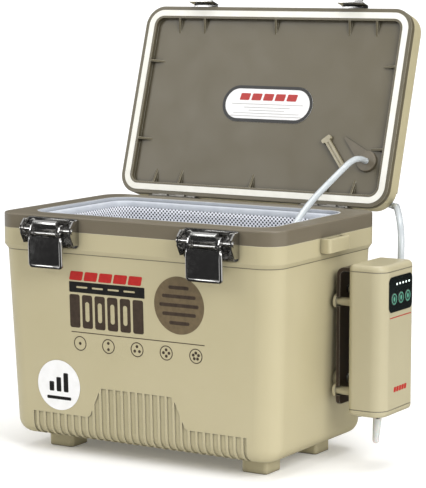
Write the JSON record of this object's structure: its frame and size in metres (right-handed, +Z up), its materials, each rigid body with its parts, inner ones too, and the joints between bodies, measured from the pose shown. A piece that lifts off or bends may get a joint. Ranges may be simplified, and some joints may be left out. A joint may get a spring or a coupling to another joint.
{
  "type": "insulated live-bait box",
  "caption": "Insulated bait box with a hinged lid, draw latches, a lift-out mesh bag and a battery air pump piped through the lid.",
  "frame": {"origin": "on the surface that the feet stand on, under the middle of the box", "axes": "+X to the box's right-hand end, where the air pump hangs; +Y to the back, where the hinges are; +Z up"},
  "size_m": [0.3666, 0.3068, 0.4201],
  "materials": {
    "tan_plastic": "satin",
    "insulation": "matte",
    "white_liner": "satin",
    "grey_plastic": "satin",
    "bag_mesh": "matte",
    "hoop_wire": "satin",
    "sticker": "satin",
    "latch_steel": "polished",
    "screw_steel": "satin",
    "bracket_plastic": "satin",
    "pump_plastic": "satin",
    "panel_black": "gloss",
    "light_lens": "gloss",
    "button_black": "satin",
    "board": "satin",
    "cells": "satin",
    "motor_can": "satin",
    "inner_plastic": "matte",
    "diaphragm_rubber": "matte",
    "hose": "satin",
    "clear_tube": "gloss",
    "stone": "matte",
    "gasket_white": "satin",
    "label_white": "satin",
    "grommet_rubber": "matte"
  },
  "bodies": {
    "box": {"air_hose_outer": "hose", "air_stone": "stone", "battery_cells": "cells", "battery_tray": "inner_plastic", "body_screws": "screw_steel", "circuit_board": "board", "control_panel": "panel_black", "foam_insulation": "insulation", "hinge_body_leaf_left": "latch_steel", "hinge_body_leaf_right": "latch_steel", "hinge_pins": "screw_steel", "inner_liner": "white_liner", "inside_air_tube": "hose", "intake_spout": "clear_tube", "latch_base_left": "latch_steel", "latch_base_right": "latch_steel", "latch_pivot_rivets": "screw_steel", "motor_mount": "inner_plastic", "net_bag": "bag_mesh", "net_hoop": "hoop_wire", "outer_shell": "tan_plastic", "outlet_elbow": "clear_tube", "pump_bottom_cap": "pump_plastic", "pump_bracket": "bracket_plastic", "pump_bracket_screws": "screw_steel", "pump_case_screws": "screw_steel", "pump_diaphragm": "diaphragm_rubber", "pump_head": "inner_plastic", "pump_housing": "pump_plastic", "pump_motor": "motor_can", "pump_top_cap": "pump_plastic", "rim_collar": "grey_plastic", "round_sticker": "sticker", "status_lights": "light_lens", "strap_lug_left": "tan_plastic", "strap_lug_right": "tan_plastic"},
    "lid": {"lid_top_shell": "tan_plastic", "lid_foam": "insulation", "lid_inner_panel": "grey_plastic", "lid_gasket": "gasket_white", "lid_label": "label_white", "hose_grommet": "grommet_rubber", "grommet_tube": "clear_tube", "port_plug": "grommet_rubber", "keeper_left": "latch_steel", "keeper_right": "latch_steel", "hinge_lid_leaf_left": "latch_steel", "hinge_lid_leaf_right": "latch_steel", "lid_screws": "screw_steel", "air_hose_inner": "hose"},
    "lever_left": {"latch_lever_left": "latch_steel", "claw_pin_left": "screw_steel"},
    "claw_left": {"latch_claw_left": "latch_steel"},
    "lever_right": {"latch_lever_right": "latch_steel", "claw_pin_right": "screw_steel"},
    "claw_right": {"latch_claw_right": "latch_steel"},
    "button_left": {"press_button_left": "button_black"},
    "button_middle": {"press_button_middle": "button_black"},
    "button_right": {"press_button_right": "button_black"},
    "crank": {"motor_crank": "inner_plastic"}
  },
  "joints": [
    {"name": "lid_hinge", "type": "hinge", "parent": "box", "child": "lid", "pos_m": [0, 0.1026, 0.2206], "axis": [1, 0, 0], "range_deg": [0, 107.5], "deforming": ["air_hose_outer", "air_hose_inner"]},
    {"name": "latch_lever_left_pivot", "type": "hinge", "parent": "box", "child": "lever_left", "pos_m": [-0.0845, -0.107, 0.212], "axis": [-1, 0, 0], "range_deg": [0, 65]},
    {"name": "latch_claw_left_pivot", "type": "hinge", "parent": "lever_left", "child": "claw_left", "pos_m": [-0.0845, -0.1088, 0.2089], "axis": [1, 0, 0], "range_deg": [-30, 95]},
    {"name": "latch_lever_right_pivot", "type": "hinge", "parent": "box", "child": "lever_right", "pos_m": [0.0845, -0.107, 0.212], "axis": [-1, 0, 0], "range_deg": [0, 65]},
    {"name": "latch_claw_right_pivot", "type": "hinge", "parent": "lever_right", "child": "claw_right", "pos_m": [0.0845, -0.1088, 0.2089], "axis": [1, 0, 0], "range_deg": [-30, 95]},
    {"name": "press_button_left_travel", "type": "slide", "parent": "box", "child": "button_left", "axis": [-1, 0, 0], "range_m": [0, 0.0005], "stiffness_N_per_m": 400},
    {"name": "press_button_middle_travel", "type": "slide", "parent": "box", "child": "button_middle", "axis": [-1, 0, 0], "range_m": [0, 0.0005], "stiffness_N_per_m": 400},
    {"name": "press_button_right_travel", "type": "slide", "parent": "box", "child": "button_right", "axis": [-1, 0, 0], "range_m": [0, 0.0005], "stiffness_N_per_m": 400},
    {"name": "motor_crank_spin", "type": "hinge", "parent": "box", "child": "crank", "pos_m": [0.188, 0.036, 0.087], "axis": [0, 0, 1], "continuous": true}
  ]
}
